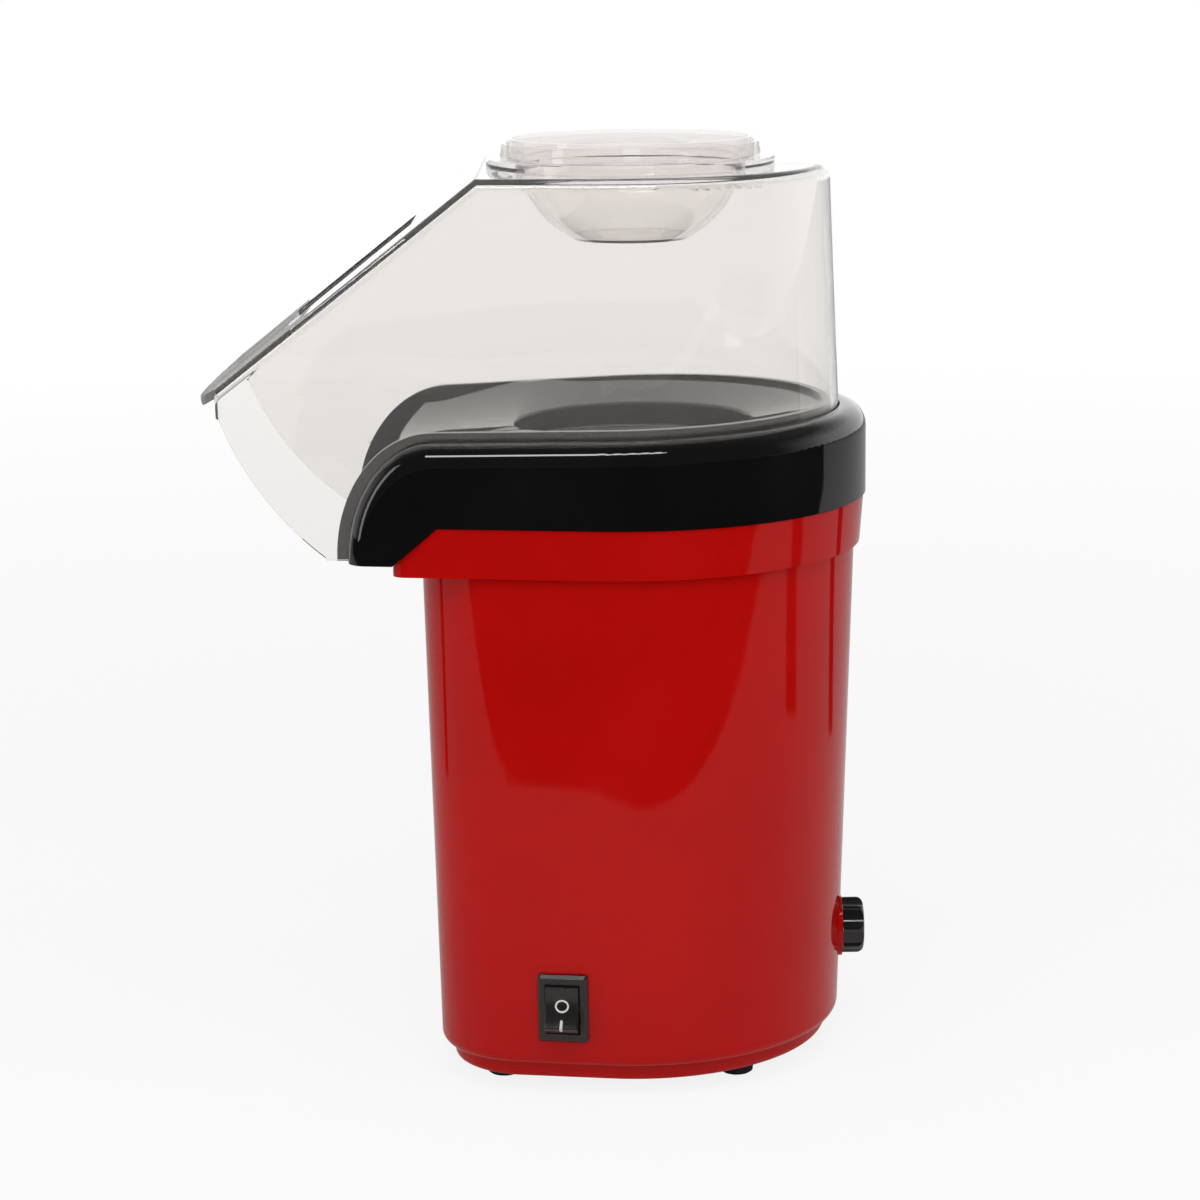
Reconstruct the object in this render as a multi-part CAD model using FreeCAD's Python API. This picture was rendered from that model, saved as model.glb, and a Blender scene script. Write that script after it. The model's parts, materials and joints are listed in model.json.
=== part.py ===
import FreeCAD, Part
import math
import os

V = FreeCAD.Vector

# Hot-air popcorn maker, in millimetres. The pieces are drawn about the axis of the popping chamber,
# with the chute towards -Y, the knob towards +Y and the switch on the +X side. The feet stand on Z = 0.
# export() moves them all so that the origin lies under the middle of the whole object.

# Driving dimensions -------------------------------------------------------------------------------

# fits
GAP = 0.3               # between pieces that lift or swing clear of each other
SLIP = 0.05             # radial play of a shaft in its bearing

# plan shape shared by body, collar and lid: half a circle behind, straight sides, flat front
SIDE_LEAN = 9.0         # each side draws in towards the front by this many degrees

# red body
FOOT_HEIGHT = 4.5
TRAY_DEPTH = 5.0        # how far the tray shows below the body
BODY_TOP = 174.2
BODY_RADIUS = 62.4      # at the lower edge
BODY_FRONT = 61.0       # at the lower edge
BODY_DRAFT = 0.0332     # growth of the radius per mm of height
FRONT_DRAFT = 0.017
BODY_CORNER = 28.0
BODY_WALL = 2.4
BODY_ROUND = 3.2        # rounding of the lower edge
BAND_LOW = 159.5
BAND_RADIUS = 69.1
BAND_RADIUS_TOP = 70.3
BAND_FRONT = 71.0
BAND_CORNER = 4.0
SPIGOT_HEIGHT = 7.0     # wall that stands up inside the collar
SHELF_DROP = 4.0        # shelves for the collar's posts, below the body's top
SHELF_THICK = 3.0

# base tray and feet
TRAY_INSET = 3.8
TRAY_THICK = 3.0
TRAY_RIM_HEIGHT = 9.0
VENT_WIDTH = 3.0
VENT_STEP = 7.0
VENT_RADIUS = 42.0
FOOT_RADIUS = 5.5
FOOT_BACK = (38.0, 29.0)
FOOT_FRONT = (36.0, -42.0)
FOOT_STEM = 2.4
BASE_SCREW_BACK = (32.0, 40.0)
BASE_SCREW_FRONT = (42.0, -31.0)
BOSS_RADIUS = 4.2
BOSS_TOP = 44.0

# black chute collar
COLLAR_LOW = 174.5
COLLAR_RADIUS = 70.9
COLLAR_TOP = 198.4      # at the front end of the shoulder
COLLAR_TILT = 1.2       # the top rises towards the back by this many degrees
COLLAR_SHOULDER = 6.5
COLLAR_WALL = 2.6
NOSE_START = -58.8      # where the shoulder turns down into the legs
NOSE_REACH = 26.0
LEG_LOW = 163.0
LEG_BACK = -71.0
SLOPE_BACK = -57.7      # the joint with the body climbs from the legs to here
RIM_RISE = 2.2          # the inner rim stands this much above the shoulder
RIM_REACH = 3.6         # and this much further forward
RIM_WALL = 2.5
RIM_PLAY = 0.2          # extra room for the lid, which narrows upwards
DECK_LOW = 189.3        # underside of the chute floor

# chute floor
HOLE_RADIUS = 36.0
HOLE_Z = 195.7
CHUTE_FALL = 5.4        # degrees the chute runs down to the front
CHUTE_BOW = 257.0       # radius of the trough across the chute
LIP_FRONT = 70.8
LIP_BOW = 170.7         # radius of the chute's front lip seen from above
LIP_LEAN = 9.0
LIP_DROP = 2.0          # how far the lip lies below the hole
HOLE_ROUND = 1.2        # rounding of the hole's upper edge

# clear lid
LID_WALL = 2.2
LID_RADIUS = 62.7
LID_RADIUS_TOP = 59.7
LID_CORNER = 3.0
LID_DRAFT_FROM = 198.0
LID_TOP = 273.4
LID_TIP = (-131.0, 206.3)
LID_SLOPE = 38.06
LID_LIP_BOW = 106.6
LID_EDGE_HIGH = (-121.5, 204.0)
LID_EDGE_MID = (-109.0, 181.6)
LID_EDGE_LOW = (-91.0, 163.6)
LID_ROUND = 4.0
SEAT_DEPTH = 5.2        # how far the lid's wall sits down in the collar
PANEL_FROM = (-103.0, -65.8)
PANEL_WIDTH = 56.0
PANEL_DEPTH = 0.7
PLATEAU_RADIUS = 43.4
PLATEAU_TOP = 276.0
RING_RADIUS = 39.2
RING_WALL = 1.8
RING_TOP = 280.6
NOTCH_WIDTH = 5.0
NOTCH_DEPTH = 4.2

# measuring cup
CUP_TOP = 281.8
CUP_WALL = 1.6
CUP_BOWL_RADIUS = 34.4
CUP_FLOOR_Z = 251.4
CUP_FLOOR_RADIUS = 17.0
CUP_BELLY = (28.9, 261.6)

# hot-air unit under the chute
CHAMBER_RADIUS = 37.0
CHAMBER_WALL = 1.0
CHAMBER_LOW = 114.0
CHAMBER_CROWN = 5.0
SLOT_COUNT = 20
SLOT_SIZE = (1.6, 12.0)
SLOT_Z = 125.0
SLOT_TILT = 30.0
FLANGE_RADIUS = 54.0
FLANGE_THICK = 1.0
FLANGE_SCREWS = 50.5
SLEEVE_RADIUS = 46.0
SLEEVE_WALL = 0.8
SLEEVE_LOW = 92.0
DUCT_WALL = 2.0
DUCT_FLOOR = 62.0
DUCT_FLOOR_THICK = 2.4
DUCT_SPIGOT = 6.0
INTAKE_RADIUS = 36.0
INTAKE_HUB = 22.0
INTAKE_SPOKE = 5.0
FAN_RADIUS = 40.0
FAN_LOW = 67.5
FAN_BLADE = 14.0
FAN_BLADES = 9
FAN_PLATE = 1.6
FAN_HUB = 7.0
SHAFT_RADIUS = 1.6
MOTOR_RADIUS = 18.0
MOTOR_LENGTH = 34.0
MOTOR_NOSE = 6.5
MOTOR_SCREWS = 12.5
CAP_LENGTH = 4.0
BOARD_RADIUS = 15.0
HEATER_Z = 102.0
HEATER_HALF = 7.0
MICA_THICK = 0.8
COIL_RADIUS = 1.3
COIL_INNER = 15.0
COIL_STEP = 5.0
COIL_TURNS = 11

# rocker switch on the +X side
SWITCH_Y = -23.4
SWITCH_Z = 28.5
BEZEL_SIZE = (15.0, 21.0)
BEZEL_PROUD = 2.0
BEZEL_BEVEL = 0.9
SWITCH_BODY = (12.8, 18.6)
SWITCH_DEPTH = 15.0
ROCKER_SIZE = (10.0, 7.5)      # width, and radius of its ends about the pivot
ROCKER_FACE = 4.6              # pivot to the ends of the rocker's face
ROCKER_DIP = 1.2               # how much the face dips at its middle
ROCKER_PIVOT = 1.5             # depth of the pivot below the bezel's face
ROCKER_REST = 16.0             # degrees, lower end pressed in
PIVOT_PIN = 1.2

# knob at the back
KNOB_Z = 34.0
KNOB_RADIUS = 8.75
KNOB_BACK = 70.8
KNOB_SCALLOPS = 8
KNOB_SCALLOP = 6.0      # radius of each hollow round the edge
KNOB_RIDGE = 1.2        # width of the ridges left between the hollows
KNOB_TURN = 9.0         # degrees that the first ridge stands above the switch side
KNOB_ROUND = 2.2
PAD_RADIUS = 9.6
PAD_FACE = 63.9
PAD_STEP = 2.2          # how far the pad stands in from the wall inside
CONTROL_RADIUS = 12.0
CONTROL_LENGTH = 12.0
BUSH_RADIUS = 4.5
STEM_RADIUS = 3.0
STEM_FLAT = 2.0
NUT_RADIUS = 6.6
NUT_THICK = 1.8

# cord inlet at the back
INLET_ANGLE = 55.0             # degrees from the back towards -X
INLET_Z = 24.0
INLET_BORE = 3.2
INLET_NECK = 5.6
INLET_FLANGE = 8.0
INLET_FLANGE_THICK = 2.4
INLET_LENGTH = 14.0

# screws
SCREW_HEAD = (2.9, 2.0)
SCREW_SHANK = 1.5
CROSS_SLOT = 0.9

# Derived places -----------------------------------------------------------------------------------

TRAY_LOW = FOOT_HEIGHT
BODY_LOW = FOOT_HEIGHT + TRAY_DEPTH
TRAY_TOP = TRAY_LOW + TRAY_THICK
GROOVE_OUT = LID_RADIUS + GAP
GROOVE_IN = LID_RADIUS - LID_WALL - GAP - RIM_PLAY
CUP_RADIUS = RING_RADIUS - RING_WALL - GAP
AXIS_Y = -(LID_TIP[0] + COLLAR_RADIUS) / 2
DUCT_SCREW_Z = SLEEVE_LOW + DUCT_SPIGOT / 2
POST_FOOT = BODY_TOP - SHELF_DROP
FAR = 160.0                    # half width of cutting blocks


def outward():
    """Direction that the +X side wall faces, seen from above."""
    lean = math.radians(SIDE_LEAN)
    return V(math.cos(lean), -math.sin(lean), 0)


def plan_wire(radius, front, corner, z):
    """Outline seen from above: half circle behind, straight sides drawing in, flat front."""
    side = outward()
    run = (front - corner - (radius - corner) * -side.y) / side.x
    centre = V((radius - corner) * side.x + run * side.y, corner - front, z)
    turn = math.radians(90 + SIDE_LEAN) / 2
    bend = V(math.cos(turn), -math.sin(turn), 0)
    right = [side * radius + V(0, 0, z), centre + side * corner, centre + bend * corner,
             centre - V(0, corner, 0)]
    left = [V(-point.x, point.y, point.z) for point in right]
    return Part.Wire([Part.Arc(right[0], V(0, radius, z), left[0]).toShape(),
                      Part.LineSegment(left[0], left[1]).toShape(),
                      Part.Arc(left[1], left[2], left[3]).toShape(),
                      Part.LineSegment(left[3], right[3]).toShape(),
                      Part.Arc(right[3], right[2], right[1]).toShape(),
                      Part.LineSegment(right[1], right[0]).toShape()])


def plan_block(radius, front, corner, low, high):
    """Straight block with the shared plan shape."""
    return Part.Face(plan_wire(radius, front, corner, low)).extrude(V(0, 0, high - low))


def plan_taper(low_plan, low, high_plan, high):
    """Block whose plan shape grows evenly from low to high."""
    return Part.makeLoft([plan_wire(*low_plan, low), plan_wire(*high_plan, high)], True, True)


def side_block(points):
    """Block with a straight-edged outline seen from the side, right across the object."""
    corners = [V(-FAR, y, z) for y, z in points]
    return Part.Face(Part.makePolygon(corners + corners[:1])).extrude(V(2 * FAR, 0, 0))


def lathe(points):
    """Solid turned about the Z axis from straight (radius, height) points."""
    corners = [V(radius, 0, z) for radius, z in points]
    return Part.Face(Part.makePolygon(corners + corners[:1])).revolve(V(), V(0, 0, 1), 360)


def rod(radius, low, high, x=0.0, y=0.0):
    return Part.makeCylinder(radius, high - low, V(x, y, low))


def tube(outer, inner, low, high, x=0.0, y=0.0):
    return rod(outer, low, high, x, y).cut(rod(inner, low - 1, high + 1, x, y))


def box(x_size, y_size, z_size, centre):
    return Part.makeBox(x_size, y_size, z_size, centre - V(x_size, y_size, z_size) / 2)


def spun(shape, degrees):
    """Copy turned about the Z axis."""
    copy = shape.copy()
    copy.rotate(V(), V(0, 0, 1), degrees)
    return copy


def both_sides(places):
    return [(side * x, y) for x, y in places for side in (1, -1)]


def screw(base, direction, length):
    """Pan-head screw: base is the underside of its head, direction is the way the shank points."""
    radius, height = SCREW_HEAD
    head = Part.makeCylinder(radius, height, V(0, 0, -height))
    head = head.makeFillet(height * 0.45, [edge for edge in head.Edges
                                           if edge.BoundBox.ZMax < -height + 0.01
                                           and edge.Length > radius])
    for x_size, y_size in ((radius * 1.3, CROSS_SLOT), (CROSS_SLOT, radius * 1.3)):
        head = head.cut(box(x_size, y_size, height, V(0, 0, -height)))
    body = head.fuse(Part.makeCylinder(SCREW_SHANK, length)).removeSplitter()
    body.Placement = FreeCAD.Placement(base, FreeCAD.Rotation(V(0, 0, 1), direction))
    return body


# Red body -----------------------------------------------------------------------------------------

def body_plan(z, inset=0.0):
    """Plan sizes of the body at a height, drawn in by inset."""
    rise = z - BODY_LOW
    return (BODY_RADIUS + BODY_DRAFT * rise - inset, BODY_FRONT + FRONT_DRAFT * rise - inset,
            BODY_CORNER - inset)


def joint_block(clearance):
    """Everything below the joint between body and collar."""
    top = COLLAR_LOW - clearance
    leg = LEG_LOW - clearance
    return side_block([(FAR, 0), (FAR, top), (SLOPE_BACK, top), (LEG_BACK, leg), (-FAR, leg), (-FAR, 0)])


def collar_posts():
    """Places of the four posts that hold the collar to the body."""
    return both_sides([(46.0, 36.0), (47.0, -38.0)])


def housing():
    top = BODY_TOP + SPIGOT_HEIGHT
    shell = plan_taper(body_plan(BODY_LOW), BODY_LOW, body_plan(top), top)
    lower_edge = [edge for edge in shell.Edges if edge.BoundBox.ZMax < BODY_LOW + 0.01]
    shell = shell.makeFillet(BODY_ROUND, lower_edge)
    band = plan_taper((BAND_RADIUS, BAND_FRONT, BAND_CORNER), BAND_LOW,
                      (BAND_RADIUS_TOP, BAND_FRONT, BAND_CORNER), BODY_TOP)
    shell = shell.fuse(band.common(joint_block(COLLAR_LOW - BODY_TOP)))
    low, high = BODY_LOW + BODY_WALL, top + 1
    shell = shell.cut(plan_taper(body_plan(low, BODY_WALL), low, body_plan(high, BODY_WALL), high))
    shell = shell.cut(plan_block(*tray_plan(-GAP), BODY_LOW - 1, low + 1))
    inside = plan_taper(body_plan(low, BODY_WALL / 2), low, body_plan(top, BODY_WALL / 2), top)
    for x, y in both_sides([BASE_SCREW_BACK, BASE_SCREW_FRONT]):
        shell = shell.fuse(wall_post(x, y, TRAY_TOP, BOSS_TOP, low + TRAY_RIM_HEIGHT).common(
            inside.fuse(rod(BOSS_RADIUS, TRAY_TOP, low + 1, x, y))))
        shell = shell.cut(rod(SCREW_SHANK, TRAY_TOP - 1, BOSS_TOP - 8, x, y))
    for x, y in collar_posts():
        shell = shell.fuse(shelf(x, y).common(inside))
        shell = shell.cut(rod(SCREW_SHANK + GAP, 0, top, x, y))
    pad = Part.makeCylinder(PAD_RADIUS, PAD_FACE - 40, V(0, 40, KNOB_Z), V(0, 1, 0))
    inner_pad = body_plan(KNOB_Z)[0] - BODY_WALL - PAD_STEP
    pad = pad.cut(box(FAR, FAR, FAR, V(0, inner_pad - FAR / 2, KNOB_Z)))
    shell = shell.fuse(pad)
    shell = shell.cut(Part.makeCylinder(BUSH_RADIUS + GAP, 40, V(0, 40, KNOB_Z), V(0, 1, 0)))
    window = place_switch(box(SWITCH_BODY[0] + GAP, SWITCH_BODY[1] + GAP, 20, V()))
    shell = shell.cut(window)
    shell = shell.cut(place_inlet(Part.makeCylinder(INLET_NECK + SLIP, 40, V(0, 0, -20))))
    return shell.removeSplitter()


def wall_post(x, y, low, high, rib_low):
    """Round post with a rib that ties it to the wall outside it."""
    post = rod(BOSS_RADIUS, low, high, x, y)
    out = V(x, y, 0).normalize()
    rib = Part.makeBox(30, 2.4, high - rib_low, V(0, -1.2, rib_low))
    rib.Placement = FreeCAD.Placement(V(x, y, 0), FreeCAD.Rotation(V(1, 0, 0), out))
    return post.fuse(rib)


def shelf(x, y):
    """Small shelf on the wall that a collar post stands on."""
    out = V(x, y, 0).normalize()
    plate = Part.makeBox(30, 2 * BOSS_RADIUS, SHELF_THICK, V(0, -BOSS_RADIUS, POST_FOOT - SHELF_THICK))
    plate.Placement = FreeCAD.Placement(V(x, y, 0), FreeCAD.Rotation(V(1, 0, 0), out))
    return plate.fuse(rod(BOSS_RADIUS, POST_FOOT - SHELF_THICK, POST_FOOT, x, y))


# Base tray ----------------------------------------------------------------------------------------

def tray_plan(inset=0.0):
    radius, front, corner = body_plan(BODY_LOW, TRAY_INSET)
    return radius - inset, front - inset, corner - inset


def vents():
    """Air slots that the fan draws through, cut to a round field."""
    rows = int(VENT_RADIUS / VENT_STEP)
    bars = []
    for row in range(-rows, rows + 1):
        y = row * VENT_STEP
        half = math.sqrt(max(VENT_RADIUS ** 2 - y * y, 0)) - VENT_WIDTH
        if half > VENT_WIDTH:
            for side in (-1, 1):
                bars.append(box(half - 3, VENT_WIDTH, 3 * TRAY_THICK,
                                V(side * (half + 3) / 2, y - 4, TRAY_LOW)))
    return bars


def base_tray():
    tray = plan_block(*tray_plan(), TRAY_LOW, TRAY_LOW + TRAY_RIM_HEIGHT)
    lower_edge = [edge for edge in tray.Edges if edge.BoundBox.ZMax < TRAY_LOW + 0.01]
    tray = tray.makeFillet(2.0, lower_edge)
    tray = tray.cut(plan_block(*tray_plan(2.0), TRAY_TOP, TRAY_TOP + TRAY_RIM_HEIGHT))
    for bar in vents():
        tray = tray.cut(bar)
    for x, y in both_sides([BASE_SCREW_BACK, BASE_SCREW_FRONT]):
        tray = tray.cut(rod(SCREW_SHANK + GAP, 0, BODY_LOW, x, y))
        tray = tray.cut(rod(SCREW_HEAD[0] + GAP, 0, TRAY_LOW + SCREW_HEAD[1] - 0.6, x, y))
    for x, y in both_sides([FOOT_BACK, FOOT_FRONT]):
        tray = tray.cut(rod(FOOT_STEM, 0, BODY_LOW, x, y))
    return tray.removeSplitter()


def feet():
    """Rubber feet, each with a stem pushed through the tray and a bead that holds it."""
    shapes = []
    for x, y in both_sides([FOOT_BACK, FOOT_FRONT]):
        foot = lathe([(0, 0), (FOOT_RADIUS - 1.2, 0), (FOOT_RADIUS - 0.5, 0.5), (FOOT_RADIUS, TRAY_LOW),
                      (FOOT_STEM, TRAY_LOW), (FOOT_STEM, TRAY_TOP), (FOOT_STEM + 0.8, TRAY_TOP + 0.4),
                      (FOOT_STEM - 0.6, TRAY_TOP + 2.6), (0, TRAY_TOP + 2.6)])
        foot.translate(V(x, y, 0))
        shapes.append(foot)
    return shapes


def base_screws():
    return [screw(V(x, y, TRAY_LOW + SCREW_HEAD[1] - 0.6), V(0, 0, 1), 12)
            for x, y in both_sides([BASE_SCREW_BACK, BASE_SCREW_FRONT])]


# Chute collar -------------------------------------------------------------------------------------

def nose_block(rise, reach, top_drop=0.0):
    """Everything under the tilted top and behind the curved nose, seen from the side."""
    top = COLLAR_TOP + rise - top_drop
    front_axis = NOSE_REACH + reach - top_drop
    down_axis = COLLAR_TOP + rise - LEG_LOW - top_drop
    start = V(-FAR, NOSE_START, top)
    centre = V(-FAR, NOSE_START, top - down_axis)
    if down_axis > front_axis:
        ellipse = Part.Ellipse(start, centre - V(0, front_axis, 0), centre)
    else:
        ellipse = Part.Ellipse(centre - V(0, front_axis, 0), start, centre)
    begin = ellipse.parameter(start)
    end = ellipse.parameter(centre - V(0, front_axis, 0))
    low, high = min(begin, end), max(begin, end)
    if high - low > math.pi:
        low, high = high, low + 2 * math.pi
    curve = Part.ArcOfEllipse(ellipse, low, high).toShape()
    foot = centre - V(0, front_axis, 0)
    back_top, back_low = V(-FAR, FAR, top), V(-FAR, FAR, LEG_LOW - 30)
    front_low = V(-FAR, foot.y, LEG_LOW - 30)
    wire = Part.Wire([curve, Part.makeLine(foot, front_low), Part.makeLine(front_low, back_low),
                      Part.makeLine(back_low, back_top), Part.makeLine(back_top, start)])
    block = Part.Face(wire).extrude(V(2 * FAR, 0, 0))
    block.rotate(V(0, NOSE_START, COLLAR_TOP), V(1, 0, 0), COLLAR_TILT)
    return block


def shoulder_edges(shape):
    """Upper edges that run round the outside of the collar."""
    edges = []
    for edge in shape.Edges:
        middle = edge.valueAt((edge.FirstParameter + edge.LastParameter) / 2)
        along = edge.tangentAt((edge.FirstParameter + edge.LastParameter) / 2)
        off_centre = abs(middle.x) > 30 or middle.y > 60
        if middle.z > LEG_LOW + 1 and abs(along.z) < 0.95 and off_centre:
            edges.append(edge)
    return edges


def front_wall(shrink=0.0):
    """Bowed and leaning block whose front is the wall below the chute's lip."""
    wall = Part.makeCylinder(LIP_BOW - shrink, 4 * FAR, V(0, LIP_BOW - LIP_FRONT, HOLE_Z - 2 * FAR))
    wall.rotate(V(0, -LIP_FRONT, HOLE_Z - LIP_DROP), V(1, 0, 0), -LIP_LEAN)
    return wall


def funnel_slope():
    """Rise of the funnel from the hole to the rim, per mm outwards."""
    return (COLLAR_TOP + RIM_RISE - HOLE_Z) / (GROOVE_IN - RIM_WALL - HOLE_RADIUS)


def chute_cutter():
    """Space above the chute floor: a funnel round the hole and a trough that runs out to the front."""
    inner = GROOVE_IN - RIM_WALL
    room = plan_block(inner, FAR, 2.0, LEG_LOW - 5, CUP_TOP)
    slope = funnel_slope()
    start, reach = HOLE_RADIUS / 2, FAR
    funnel = Part.makeCone(start, reach, slope * (reach - start),
                           V(0, 0, HOLE_Z - slope * (HOLE_RADIUS - start)))
    funnel.rotate(V(0, -HOLE_RADIUS, HOLE_Z), V(1, 0, 0), COLLAR_TILT / 2)
    trough = Part.makeCylinder(CHUTE_BOW, 2 * FAR, V(0, -HOLE_RADIUS - FAR, HOLE_Z + CHUTE_BOW),
                               V(0, 1, 0))
    trough.rotate(V(0, -HOLE_RADIUS, HOLE_Z), V(1, 0, 0), CHUTE_FALL)
    trough = trough.common(box(2 * FAR, FAR, FAR, V(0, -FAR / 2, HOLE_Z)))
    front = box(2 * FAR, 2 * FAR, FAR, V(0, -FAR, LEG_LOW)).cut(front_wall())
    return funnel.fuse([trough, front]).common(room)


def hole_rounding():
    """Ring that rounds the hole's upper edge where the funnel runs into it."""
    rise = math.atan(funnel_slope())
    reach = HOLE_ROUND / math.tan((math.pi / 2 + rise) / 2)
    start = V(HOLE_RADIUS - SLIP, 0, HOLE_Z - reach)
    end = V(HOLE_RADIUS + reach * math.cos(rise), 0, HOLE_Z + reach * math.sin(rise))
    centre = V(HOLE_RADIUS + HOLE_ROUND, 0, HOLE_Z - reach)
    middle = centre + (V(HOLE_RADIUS, 0, HOLE_Z) - centre).normalize() * HOLE_ROUND
    inner, top = start.x - HOLE_ROUND, HOLE_Z + FAR
    corners = [end, V(end.x, 0, top), V(inner, 0, top), V(inner, 0, start.z), start]
    edges = [Part.Arc(start, middle, end).toShape()]
    edges += [Part.makeLine(a, b) for a, b in zip(corners, corners[1:])]
    ring = Part.Face(Part.Wire(edges)).revolve(V(), V(0, 0, 1), 360)
    ring.rotate(V(0, -HOLE_RADIUS, HOLE_Z), V(1, 0, 0), COLLAR_TILT / 2)
    return ring


def collar_blank():
    band = plan_block(COLLAR_RADIUS, FAR, 5.0, LEG_LOW, CUP_TOP).common(nose_block(0, 0))
    band = band.makeFillet(COLLAR_SHOULDER, shoulder_edges(band))
    rim = plan_block(GROOVE_IN, FAR, 3.0, LEG_LOW, CUP_TOP).common(nose_block(RIM_RISE, RIM_REACH))
    return band, rim


def groove_block(extra):
    """Slot round the inner rim that the lid's wall stands in."""
    ring = plan_block(GROOVE_OUT, FAR, 3.0, LEG_LOW - 1, CUP_TOP)
    ring = ring.cut(plan_block(GROOVE_IN, 2 * FAR, 3.0, LEG_LOW - 2, CUP_TOP + 1))
    return ring.cut(nose_block(0, 0, SEAT_DEPTH + extra))


def chute_collar():
    band, rim = collar_blank()
    collar = band.cut(groove_block(GAP)).fuse(rim)
    hollow = plan_block(COLLAR_RADIUS - COLLAR_WALL, LIP_FRONT, 10.0, LEG_LOW - 5, DECK_LOW)
    collar = collar.cut(hollow.common(front_wall(COLLAR_WALL)))
    collar = collar.cut(joint_block(0))
    collar = collar.cut(chute_cutter())
    collar = collar.cut(rod(HOLE_RADIUS, 0, FAR * 2))
    collar = collar.cut(hole_rounding())
    for x, y in collar_posts():
        collar = collar.fuse(rod(BOSS_RADIUS, POST_FOOT, DECK_LOW + 1, x, y))
        collar = collar.cut(rod(SCREW_SHANK, POST_FOOT - 1, DECK_LOW - 5, x, y))
    for x, y in flange_screw_places():
        collar = collar.cut(rod(SCREW_SHANK, DECK_LOW - 1, DECK_LOW + 6, x, y))
    return collar.removeSplitter()


def collar_screws():
    return [screw(V(x, y, POST_FOOT - SHELF_THICK), V(0, 0, 1), 10) for x, y in collar_posts()]


# Clear lid and measuring cup ----------------------------------------------------------------------

def slope_z(y):
    """Height of the slanted plate's outer face."""
    return LID_TIP[1] + (y - LID_TIP[0]) * math.tan(math.radians(LID_SLOPE))


def slope_y(z):
    return LID_TIP[0] + (z - LID_TIP[1]) / math.tan(math.radians(LID_SLOPE))


def lid_plan_block(inset):
    """Straight skirt below, slight draft above."""
    corner = LID_CORNER
    skirt = plan_block(LID_RADIUS - inset, FAR, corner, LEG_LOW - 10, LID_DRAFT_FROM)
    crown = plan_taper((LID_RADIUS - inset, FAR, corner), LID_DRAFT_FROM,
                       (LID_RADIUS_TOP - inset, FAR, corner), LID_TOP + 1)
    return skirt.fuse(crown).removeSplitter()


def lid():
    outside = side_block([(FAR, LEG_LOW - 10), (FAR, LID_TOP), (slope_y(LID_TOP), LID_TOP), LID_TIP,
                          (LID_TIP[0], LEG_LOW - 10)])
    blank = lid_plan_block(0).common(outside)
    blank = blank.makeFillet(LID_ROUND, [edge for edge in blank.Edges if is_lid_ridge(edge)])
    drop = LID_WALL / math.cos(math.radians(LID_SLOPE))
    top = LID_TOP - LID_WALL
    hollow = side_block([(FAR, 0), (FAR, top), (slope_y(top + drop), top),
                         (-FAR, slope_z(-FAR) - drop), (-FAR, 0)]).common(lid_plan_block(LID_WALL))
    hollow = hollow.makeFillet(LID_ROUND - LID_WALL, [edge for edge in hollow.Edges if is_lid_ridge(edge)])
    cover = blank.fuse(plateau()).cut(hollow)
    cover = cover.cut(lid_skirt_cutter())
    bow = Part.makeCylinder(LID_LIP_BOW, 2 * FAR, V(0, LID_TIP[0] + LID_LIP_BOW, 100))
    cover = cover.common(bow)
    cover = cover.cut(panel())
    cover = cover.fuse(tube(RING_RADIUS, RING_RADIUS - RING_WALL, LID_TOP, RING_TOP))
    cover = cover.cut(rod(CUP_BOWL_RADIUS + GAP, LID_TOP - 10, PLATEAU_TOP + 1))
    cover = cover.cut(box(4 * RING_WALL, NOTCH_WIDTH, 2 * NOTCH_DEPTH,
                          V(RING_RADIUS - RING_WALL / 2, 0, RING_TOP)))
    return cover.removeSplitter()


def is_lid_ridge(edge):
    """True for the edges where the lid's sides meet its top and its slanted plate."""
    middle = edge.valueAt((edge.FirstParameter + edge.LastParameter) / 2)
    along = edge.tangentAt((edge.FirstParameter + edge.LastParameter) / 2)
    on_top = abs(middle.z - LID_TOP) < LID_WALL + 0.1
    on_slope = abs(middle.z - slope_z(middle.y)) < 2 * LID_WALL and abs(along.z) > 0.3
    return abs(middle.x) > 20 and (on_top or on_slope) or (on_top and middle.y > 40)


def lid_skirt_cutter():
    """Trims the side walls: curved front edge, then down into the collar's groove."""
    start, middle, end = [V(-FAR, y, z) for y, z in (LID_EDGE_HIGH, LID_EDGE_MID, LID_EDGE_LOW)]
    tip = V(-FAR, *LID_TIP)
    front = Part.Wire([Part.Arc(start, middle, end).toShape(),
                       Part.makeLine(end, V(-FAR, end.y, 0)),
                       Part.makeLine(V(-FAR, end.y, 0), V(-FAR, -2 * FAR, 0)),
                       Part.makeLine(V(-FAR, -2 * FAR, 0), V(-FAR, -2 * FAR, tip.z)),
                       Part.makeLine(V(-FAR, -2 * FAR, tip.z), tip),
                       Part.makeLine(tip, start)])
    front = Part.Face(front).extrude(V(2 * FAR, 0, 0))
    under = side_block([(FAR, 0), (FAR, LEG_LOW), (-FAR, LEG_LOW), (-FAR, 0)])
    return front.fuse([under, nose_block(0, 0, SEAT_DEPTH)])


def plateau():
    """Round step on top of the lid that carries the ring."""
    return rod(PLATEAU_RADIUS, LID_TOP - LID_WALL, PLATEAU_TOP).common(
        side_block([(FAR, 0), (FAR, FAR * 2), (slope_y(FAR * 2), FAR * 2), LID_TIP, (LID_TIP[0], 0)]))


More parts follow.
